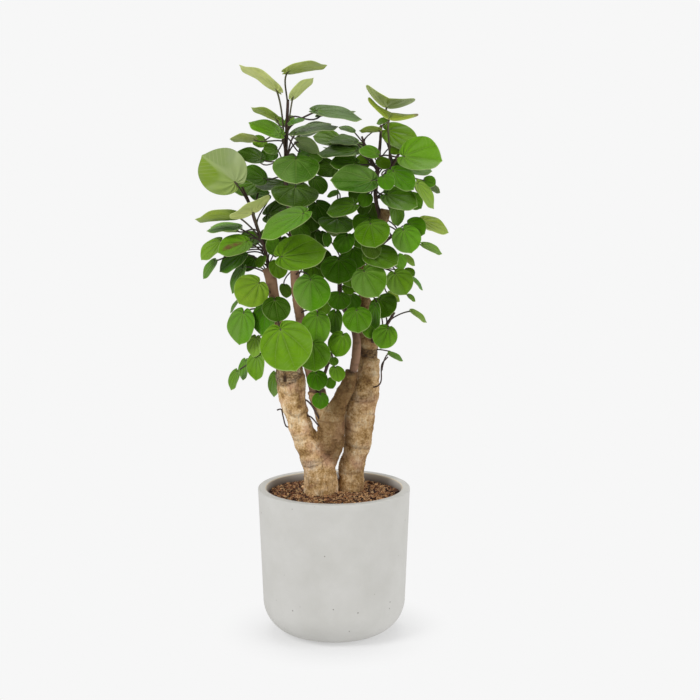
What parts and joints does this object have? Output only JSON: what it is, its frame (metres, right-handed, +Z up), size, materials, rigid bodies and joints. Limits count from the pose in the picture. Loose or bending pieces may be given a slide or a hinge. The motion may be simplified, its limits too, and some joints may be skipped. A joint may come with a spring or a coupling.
{
  "type": "potted aralia plant",
  "caption": "Shield-leaved aralia with thick cut trunks and round notched leaves on thin stalks, growing in coir soil in a round concrete pot with a flat rim and a rounded foot.",
  "frame": {"origin": "centre of the pot's flat base, where it rests", "axes": "+Z up along the pot's axis, +X to the right and -Y towards the viewer as in the picture"},
  "size_m": [0.404, 0.2894, 0.931],
  "materials": {
    "concrete": "matte",
    "soil": "rough",
    "bark": "rough",
    "leaf": "satin",
    "stem": "satin"
  },
  "bodies": {
    "root": {"pot": "concrete", "soil": "soil", "trunk_left": "bark", "trunk_right": "bark", "stem_left": "leaf", "stem_centre": "leaf", "stem_top": "leaf", "stem_right": "leaf", "stem_middle": "leaf", "sprig_middle": "leaf", "sprig_right": "leaf", "shoot_right": "leaf"}
  },
  "joints": []
}
